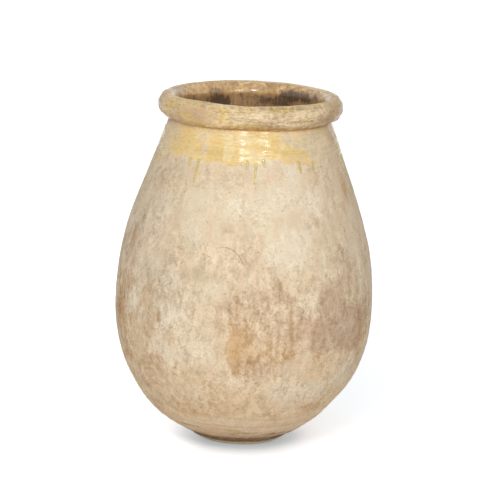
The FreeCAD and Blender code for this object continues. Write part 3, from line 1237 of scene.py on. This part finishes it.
@dataclass
class ClayBody:
    """The clay from the foot up to the rim's seat: a disc, three lifts of wall and the collar."""

    outline: Outline
    hand: PotterHand
    weathering: Weathering
    finish: bpy.types.Material
    wall: float = 0.022
    seam_lap: float = 0.020
    spacing: float = 0.0042
    hidden_spacing: float = 0.030
    steps: int = 480
    foot_base_radius: float = 0.101
    foot_lip: float = 0.003
    foot_groove: float = 0.0025
    foot_waist: float = 0.0025
    foot_steps: int = 9
    under_rings: tuple[float, ...] = (0.0, 0.35, 0.7, 0.9)
    throat_radius: float = 0.1762

    def build(self) -> None:
        """Build every clay piece of the body."""
        self.build_foot()
        for node in ("lower_wall", "belly_wall", "shoulder_wall"):
            self.build_lift(node)
        self.build_collar()

    def finish_piece(self, piece: bpy.types.Object, node: str) -> None:
        """Work a turned piece by hand, stain it and dress it.

        Args:
            piece: The piece on its true turning.
            node: The solid that it stands for.
        """
        write_points(piece, self.hand.work(read_points(piece)))
        self.weathering.paint(piece, STAINS, CLAY_MARKS)
        settle(piece, self.finish, node)

    def build_foot(self) -> None:
        """The disc that closes the bottom: a sloped underside, a lip, a groove and the inside's floor."""
        base = np.array([self.foot_base_radius, 0.0])
        heel = np.array([self.outline.foot_radius, self.outline.foot_height])
        lip_top = heel - (self.foot_lip / 2, self.foot_groove)
        lip_bottom = lip_top - (0.0, self.foot_lip)
        lip_pole = (lip_bottom + lip_top) / 2 + (self.foot_lip, 0.0)
        groove_pole = (lip_top + heel) / 2 - (2 * self.foot_waist, 0.0)
        legs = ((base, lip_bottom), (lip_bottom, lip_pole, lip_top), (lip_top, groove_pole, heel))
        edge = np.concatenate([[base], *(pulled(leg, self.foot_steps)[1:] for leg in legs)])
        floor_radius, floor_level = self.outline.inside(self.wall)[0]
        under = [(self.foot_base_radius * share, 0.0) for share in self.under_rings]
        inner = [(floor_radius, floor_level), (floor_radius / 2, floor_level), (0.0, floor_level)]
        piece = turn("foot", [*under, *edge.tolist(), *inner], self.steps)
        self.finish_piece(piece, "foot_disc")

    def build_lift(self, node: str) -> None:
        """One lift of wall between two scarfed seams.

        Args:
            node: The solid that the lift stands for.
        """
        low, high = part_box(node)
        inner_low = low.z + self.seam_lap
        if node == "lower_wall":
            inner_low = self.outline.inside(self.wall)[0][1]
        outer = self.outline.stretch(low.z, high.z - self.seam_lap, self.spacing)
        inner = self.outline.stretch(inner_low, high.z, self.hidden_spacing, self.wall)
        piece = turn(node.replace("_wall", "_lift"), outer + inner[::-1], self.steps)
        self.finish_piece(piece, node)

    def build_collar(self) -> None:
        """The narrowing ring under the rim."""
        low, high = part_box("neck_collar")
        outer = self.outline.stretch(low.z, high.z, self.spacing)
        inner = self.outline.stretch(low.z + self.seam_lap, high.z, self.hidden_spacing / 2, self.wall)
        inner = [(max(radius, self.throat_radius), level) for radius, level in inner]
        piece = turn("collar", outer + inner[::-1], self.steps)
        self.finish_piece(piece, "neck_collar")


@dataclass
class Mouth:
    """The roll of clay over the collar, its coat of glaze and the lining of the inside."""

    outline: Outline
    weathering: Weathering
    clay: bpy.types.Material
    rim_finish: bpy.types.Material
    lining_finish: bpy.types.Material
    wall: float = 0.022
    glaze: float = 0.0012
    steps: int = 480
    lining_steps: int = 320
    rim_points: int = 64
    lining_spacing: float = 0.007
    floor_rings: tuple[float, ...] = (0.0, 0.25, 0.5, 0.75)
    swell: float = 0.0006
    swell_size: float = 0.22
    lump: float = 0.00035
    lump_size: float = 0.05
    groove: float = 0.0005
    grooves: int = 9
    groove_drift: float = 1.2
    skin_shares: tuple[float, float] = (0.4, 1.0)
    throat_shares: tuple[float, float] = (-1.0, -0.6)
    drift_size: float = 0.3
    ripple: float = 0.0006
    ripple_pitch: float = 0.023
    ripple_radii: tuple[float, float] = (0.05, 0.1)
    lip_hold: float = 0.03
    mouth_radius: float = 0.175

    @cached_property
    def lip_level(self) -> float:
        """The level of the roll's middle, where the lining ends."""
        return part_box("inner_glaze")[1].z

    @cached_property
    def rim(self) -> tuple[float, float, float]:
        """The roll's middle radius, and half its glazed width and height."""
        low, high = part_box("rim_glaze")
        middle = (high.x + self.mouth_radius) / 2
        return middle, (high.x - self.mouth_radius) / 2, (high.z - low.z) / 2

    def build(self) -> None:
        """Build the roll, its glaze and the lining."""
        self.build_roll()
        self.build_rim_glaze()
        self.build_lining()

    def oval(self, inset: float, start: float, end: float) -> Profile:
        """Points on the roll's round outline.

        Args:
            inset: How far inside the glazed surface.
            start: Where the points start, in degrees up from straight outwards.
            end: Where they end.

        Returns:
            Pairs of radius and level.
        """
        middle, half_width, half_height = self.rim
        angles = np.radians(np.linspace(start, end, self.rim_points))
        radii = middle + (half_width - inset) * np.cos(angles)
        levels = self.lip_level + (half_height - inset) * np.sin(angles)
        return list(zip(radii.tolist(), levels.tolist()))

    def work(self, points: np.ndarray) -> np.ndarray:
        """Work the roll by hand: it swells and shrinks slowly round the mouth.

        Args:
            points: Rows of x, y, z on a true roll.

        Returns:
            The worked points.
        """
        radius, bearing, level = cylindrical(points)
        middle, half_width, half_height = self.rim
        out = (radius - middle) / half_width
        up = (level - self.lip_level) / half_height
        size = np.maximum(np.hypot(out, up), 1e-6)
        ring = cartesian(np.full_like(radius, middle), bearing, np.full_like(level, self.lip_level))
        skin_radius = middle + half_width * out / size
        skin = cartesian(skin_radius, bearing, self.lip_level + half_height * up / size)
        amount = self.swell * SlowWave(self.swell_size, 21).at(ring)
        amount = amount + self.lump * SlowWave(self.lump_size, 22).at(skin)
        drift = self.groove_drift * SlowWave(self.drift_size, 23).at(ring)
        amount = amount + self.groove * np.sin(self.grooves * np.arctan2(up, out) + drift)
        amount = amount * smooth_step(*self.skin_shares, size) * smooth_step(*self.throat_shares, out)
        return cartesian(radius + amount * out / size, bearing, level + amount * up / size)

    def build_roll(self) -> None:
        """The roll of clay, square where it laps the collar."""
        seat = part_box("neck_collar")[1].z
        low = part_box("rolled_rim")[0].z
        edge = self.outline.neck_radius
        lap = [(float(self.outline.radius_at(np.array([low]))[0]), low), (edge, seat)]
        throat = [(self.mouth_radius + self.glaze, seat)]
        piece = turn("rim_roll", self.oval(self.glaze, 180, -90) + lap + throat, self.steps)
        write_points(piece, self.work(read_points(piece)))
        self.weathering.paint(piece, STAINS, CLAY_MARKS)
        settle(piece, self.clay, "rolled_rim")

    def build_rim_glaze(self) -> None:
        """The coat over the roll, from the lip over the crown and down into the crease."""
        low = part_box("rim_glaze")[0].z
        crease = float(self.outline.radius_at(np.array([low]))[0])
        outer = self.oval(0.0, 180, -90) + [(crease, low)]
        inner = [(crease, low + self.glaze)] + self.oval(self.glaze, -90, 180)
        piece = turn("rim_coat", outer + inner, self.steps)
        write_points(piece, self.work(read_points(piece)))
        self.weathering.paint(piece, GLAZE_STAINS, RIM_MARKS)
        settle(piece, self.rim_finish, "rim_glaze")

    def lining_line(self, depth: float, throat: float) -> Profile:
        """The inside's line from the middle of the floor up to the lip.

        Args:
            depth: How deep it runs under the outside.
            throat: Its radius in the throat.

        Returns:
            Pairs of radius and level.
        """
        floor_radius, floor_level = self.outline.inside(depth)[0]
        top = self.outline.inside(depth)[-1][1]
        floor = [(floor_radius * share, floor_level) for share in self.floor_rings]
        wall = self.outline.stretch(floor_level, top, self.lining_spacing, depth)
        belly = self.outline.belly_level
        below = [(max(radius, throat) if level > belly else radius, level) for radius, level in wall]
        rise = self.lip_level - top
        rows = max(2, round(rise / self.lining_spacing))
        return floor + below + [(throat, top + rise * (row + 1) / rows) for row in range(rows)]

    def build_lining(self) -> None:
        """The glaze on the inside."""
        inner = self.lining_line(self.wall + self.glaze, self.mouth_radius)
        outer = self.lining_line(self.wall, self.mouth_radius + self.glaze)
        piece = turn("lining", inner + outer[::-1], self.lining_steps)
        points = read_points(piece)
        radius, bearing, level = cylindrical(points)
        hold = 1 - smooth_step(self.lip_level - self.lip_hold, self.lip_level, level)
        hold = hold * smooth_step(*self.ripple_radii, radius)
        drift = SlowWave(self.drift_size, 24).at(points)
        ripple = self.ripple * np.sin(math.tau * level / self.ripple_pitch + drift)
        write_points(piece, cartesian(radius + ripple * hold, bearing, level))
        self.weathering.paint(piece, GLAZE_STAINS, (Mark.SOOT_AND_SHADE,))
        settle(piece, self.lining_finish, "inner_glaze")


@dataclass(frozen=True)
class Run:
    """One run of glaze below the band: its bearing in degrees, its length and its width."""

    bearing: float
    length: float
    width: float


RUNS = (
    Run(-37.5, 0.018, 0.0060),
    Run(-31.5, 0.052, 0.0080),
    Run(-0.5, 0.017, 0.0050),
    Run(4.5, 0.046, 0.0065),
    Run(9.5, 0.014, 0.0060),
    Run(32.5, 0.024, 0.0080),
    Run(42.0, 0.020, 0.0050),
    Run(78.0, 0.033, 0.0070),
    Run(112.0, 0.058, 0.0080),
    Run(119.0, 0.022, 0.0060),
    Run(163.0, 0.030, 0.0070),
    Run(196.0, 0.047, 0.0075),
    Run(231.0, 0.019, 0.0060),
    Run(258.0, 0.039, 0.0070),
    Run(290.0, 0.025, 0.0065),
)


@dataclass
class NeckBand:
    """The yellow glaze on the neck, with its ragged lower edge and its runs."""

    outline: Outline
    hand: PotterHand
    weathering: Weathering
    band_finish: bpy.types.Material
    run_finish: bpy.types.Material
    glaze: float = 0.0012
    steps: int = 480
    spacing: float = 0.0034
    feather: float = 0.007
    ragged: float = 0.0035
    root: float = 0.012
    ragged_size: float = 0.10
    frayed: float = 0.6
    frayed_size: float = 0.03
    edge_radius: float = 0.22
    edge_lifts: tuple[tuple[float, float, float], ...] = (
        (-48, 14, 0.009),
        (18, 10, 0.008),
        (60, 20, 0.008),
        (150, 25, 0.010),
    )
    edge_skin: float = 0.08
    run_height: float = 0.0018
    run_sink: float = 0.0006
    run_sway: float = 0.0012
    run_waist: float = 0.80
    run_swell: float = 0.25
    run_start: float = 0.04
    run_rise: float = 0.35
    run_segments: int = 16
    run_rings: int = 30
    run_crease: float = 60
    flare: float = 3.2
    flare_reach: float = 0.6

    @cached_property
    def low(self) -> float:
        """The level of the band's lower edge."""
        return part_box("neck_glaze")[0].z

    @cached_property
    def high(self) -> float:
        """The level of the band's top, in the crease under the rim."""
        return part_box("neck_glaze")[1].z

    def build(self) -> None:
        """Build the band and its runs."""
        self.build_band()
        self.build_runs()

    def edge_level(self, bearing: np.ndarray) -> np.ndarray:
        """The level of the ragged lower edge, which is lifted at a few places.

        Args:
            bearing: Radians round from the front.

        Returns:
            One level for each bearing.
        """
        ring = cartesian(np.full_like(bearing, self.edge_radius), bearing, np.zeros_like(bearing))
        waves = SlowWave(self.ragged_size, 41).at(ring)
        waves = waves + self.frayed * SlowWave(self.frayed_size, 42).at(ring)
        edge = self.low + self.ragged * waves
        for place, spread, lift in self.edge_lifts:
            edge = edge + lift * np.exp(-((turned_from(place, bearing) / math.radians(spread)) ** 2))
        return edge

    def build_band(self) -> None:
        """The coat on the neck: full above, and thinning to nothing at its ragged lower edge."""
        inner = self.outline.stretch(self.low, self.high, self.spacing)
        outer = [(radius + self.glaze, level) for radius, level in inner]
        piece = turn("neck_band", outer + inner[::-1], self.steps)
        radius, bearing, level = cylindrical(read_points(piece))
        lift = radius - self.outline.radius_at(level)
        edge = self.edge_level(bearing)
        draped = edge + (level - self.low) / (self.high - self.low) * (self.high - edge)
        full = smooth_step(0.0, self.feather, draped - edge)
        lift = lift * (self.edge_skin + (1 - self.edge_skin) * full)
        points = cartesian(self.outline.radius_at(draped) + lift, bearing, draped)
        write_points(piece, self.hand.work(points))
        self.weathering.paint(piece, GLAZE_STAINS, GLAZE_MARKS)
        settle(piece, self.band_finish, "neck_glaze")

    def build_runs(self) -> None:
        """Every run, each a drop drawn out down the neck, as one piece."""
        drops = [self.build_run(run) for run in RUNS]
        bpy.ops.object.select_all(action="DESELECT")
        for drop in drops:
            drop.select_set(True)
        bpy.context.view_layer.objects.active = drops[0]
        bpy.ops.object.join()
        piece = bpy.context.object
        piece.name = "neck_runs"
        piece.data.name = "neck_runs"
        self.weathering.paint(piece, GLAZE_STAINS, GLAZE_MARKS)
        settle(piece, self.run_finish, "glaze_runs", self.run_crease)

    def build_run(self, run: Run) -> bpy.types.Object:
        """Draw one ball of glaze out into a run.

        Args:
            run: Where it is, and how long and wide.

        Returns:
            The new drop, lying on the neck.
        """
        bpy.ops.object.select_all(action="DESELECT")
        bpy.ops.mesh.primitive_uv_sphere_add(segments=self.run_segments, ring_count=self.run_rings)
        drop = bpy.context.object
        ball = read_points(drop)
        share = (1 - ball[:, 2]) / 2
        around = np.arctan2(ball[:, 1], ball[:, 0])
        middle = math.radians(run.bearing)
        top = float(self.edge_level(np.array([middle]))[0]) + self.root
        length = self.root + run.length
        neck = self.flare * np.exp(-share * length / (self.flare_reach * self.root))
        half_width = run.width / 2 * (neck + self.run_waist + self.run_swell * share)
        half_width = half_width * np.sqrt(np.clip(1 - share**6, 0, 1))
        half_width = half_width * smooth_step(0.0, self.run_start, share)
        height = self.run_height * smooth_step(0.0, self.run_rise, share)
        height = height * np.sqrt(np.clip(1 - share**5, 0, 1))
        across = half_width * np.cos(around)
        lift = np.where(np.sin(around) > 0, height, self.run_sink) * np.sin(around)
        level = top - length * share
        sway = self.run_sway * np.sin(5 * share + 3 * run.bearing)
        radius = self.outline.radius_at(level)
        points = cartesian(radius + lift, middle + (across + sway) / radius, level)
        write_points(drop, self.hand.work(points))
        return drop


@dataclass(frozen=True)
class Softbox:
    """A rectangular lamp with a white diffuser, aimed at the jar."""

    name: str
    bearing: float
    elevation: float
    distance: float
    width: float
    height: float
    power: float
    seen_in_gloss: bool = True

    def hang(self, target: Vector) -> None:
        """Hang the lamp.

        Args:
            target: The point that it faces.
        """
        data = bpy.data.lights.new(self.name, "AREA")
        data.shape = "RECTANGLE"
        data.size = self.width
        data.size_y = self.height
        data.energy = self.power
        lamp = bpy.data.objects.new(self.name, data)
        bpy.context.scene.collection.objects.link(lamp)
        lamp.visible_glossy = self.seen_in_gloss
        turn_by, rise = math.radians(self.bearing), math.radians(self.elevation)
        level = Vector((math.sin(turn_by), -math.cos(turn_by), 0))
        way = level * math.cos(rise) + Vector((0, 0, math.sin(rise)))
        lamp.location = target + way * self.distance
        lamp.rotation_euler = way.to_track_quat("Z", "Y").to_euler()


@dataclass(frozen=True)
class Studio:
    """The pale floor, the soft light and the camera at the photograph's place."""

    lamps: tuple[Softbox, ...] = (
        Softbox("key", -4, 30, 3.0, 1.30, 1.30, 33, seen_in_gloss=False),
        Softbox("back_fill", 172, 38, 3.0, 1.30, 1.30, 8, seen_in_gloss=False),
        Softbox("left_glint", -5, 28, 3.0, 0.26, 0.36, 6.5),
        Softbox("right_glint", 21, 29, 3.0, 0.40, 0.16, 5),
    )
    ambient: float = 0.43
    floor_size: float = 60.0
    floor_colour: str = "EFF1F5"
    bounce: float = 0.09
    # The floor's glow is painted: dimmer and bluish round the foot, a painted shadow, and brighter to the
    # left of the jar, painted light.
    shade_centre: tuple[float, float, float] = (0.0, 0.05, 0.0)
    shade_glow: Colour = (0.14, 0.19, 0.22, 1.0)
    near_glow: Colour = (0.50, 0.52, 0.53, 1.0)
    far_glow: Colour = (0.68, 0.68, 0.68, 1.0)
    left_painted_light: Colour = (0.22, 0.22, 0.22, 1.0)
    shade_reach: tuple[float, float] = (0.05, 0.20)
    left_reach: tuple[float, float] = (-0.06, -0.18)
    far_reach: tuple[float, float] = (0.6, 2.0)
    aim_level: float = 0.425
    elevation: float = math.radians(12.075)
    distance: float = 6.732
    slide: float = 0.0114
    lift: float = 0.0378
    roll: float = math.radians(2.046)
    lens: float = 198.3
    sensor: float = 36.0

    def build(self) -> None:
        """Set the floor, the light and the camera."""
        self.lay_floor()
        self.light()
        self.place_camera()
        bpy.context.scene.view_settings.view_transform = "Standard"

    def lay_floor(self) -> None:
        """A pale floor that keeps the jar's shadow, with its glow painted dimmer round the foot as a
        painted shadow, and brighter to the left as painted light.
        """
        bpy.ops.object.select_all(action="DESELECT")
        bpy.ops.mesh.primitive_plane_add(size=self.floor_size)
        floor = bpy.context.object
        floor.name = "floor"
        sheet = NodeSheet(bpy.data.materials.new("pale_floor"))
        diffuse = sheet.add("ShaderNodeBsdfDiffuse", {"Color": srgb(self.floor_colour)})
        centred = sheet.add("ShaderNodeVectorMath", {0: sheet.place, 1: self.shade_centre}, operation="ADD")
        distance = sheet.add("ShaderNodeVectorMath", {0: centred.outputs[0]}, operation="LENGTH")
        reach = distance.outputs["Value"]
        # Painted shadow round the foot, rising to the even glow further out, with painted light added to
        # the left.
        glow = sheet.blend(self.shade_glow, self.near_glow, sheet.rise(reach, *self.shade_reach))
        glow = sheet.blend(glow, self.far_glow, sheet.rise(reach, *self.far_reach))
        glow = sheet.blend(glow, self.left_painted_light, sheet.rise(sheet.along("X"), *self.left_reach), "ADD")
        shown = sheet.blend((self.bounce, self.bounce, self.bounce, 1), glow, sheet.seen())
        glow = sheet.add("ShaderNodeEmission", {"Color": shown, "Strength": 1.0})
        both = sheet.add("ShaderNodeAddShader", {0: diffuse.outputs[0], 1: glow.outputs[0]})
        sheet.add("ShaderNodeOutputMaterial", {"Surface": both.outputs[0]})
        floor.data.materials.append(sheet.owner)

    def light(self) -> None:
        """Hang the lamps, and fill with an even white surrounding."""
        for lamp in self.lamps:
            lamp.hang(Vector((0, 0, self.aim_level)))
        world = bpy.data.worlds.new("white_studio")
        bpy.context.scene.world = world
        sheet = NodeSheet(world)
        strength = sheet.mix(self.ambient, 1.0, sheet.seen())
        background = sheet.add("ShaderNodeBackground", {"Color": (1, 1, 1, 1), "Strength": strength})
        sheet.add("ShaderNodeOutputWorld", {"Surface": background.outputs[0]})

    def place_camera(self) -> None:
        """Put the camera where the photograph was taken from."""
        data = bpy.data.cameras.new("camera")
        data.lens = self.lens
        data.sensor_width = self.sensor
        camera = bpy.data.objects.new("camera", data)
        bpy.context.scene.collection.objects.link(camera)
        back = Vector((0, -math.cos(self.elevation), math.sin(self.elevation)))
        up = Vector((0, math.sin(self.elevation), math.cos(self.elevation)))
        right = Vector((1, 0, 0))
        facing = Matrix((right, up, back)).transposed() @ Matrix.Rotation(self.roll, 3, "Z")
        camera.matrix_world = facing.to_4x4()
        aim = Vector((0, 0, self.aim_level)) + right * self.slide + up * self.lift
        camera.location = aim + back * self.distance
        bpy.context.scene.camera = camera


def main() -> None:
    """Build the jar piece by piece, then the studio round it."""
    logging.basicConfig(level=logging.INFO, format="%(message)s")
    outline = Outline.from_frame()
    hand = PotterHand(outline)
    weathering = Weathering(outline)
    clay = ClayFinish().make()
    ClayBody(outline, hand, weathering, clay).build()
    lining = LiningFinish()
    rim = GlazeFinish(
        "rim_glaze",
        worn=0.40,
        honey="DFBC6C",
        straw="E6D096",
        olive="B59D62",
        amber="C2945C",
        bare="E6CEA9",
        chalk="D8C09D",
        rust="B08C68",
        mottle=1.0,
        sheen=0.4,
        lining=lining,
    )
    band = GlazeFinish("neck_glaze", worn=0.12)
    runs = GlazeFinish("run_glaze", worn=-0.40, honey="CDB878", straw="D8C68C")
    Mouth(outline, weathering, clay, rim.make(), lining.make()).build()
    NeckBand(outline, hand, weathering, band.make(), runs.make()).build()
    Studio().build()


if __name__ == "__main__":
    main()
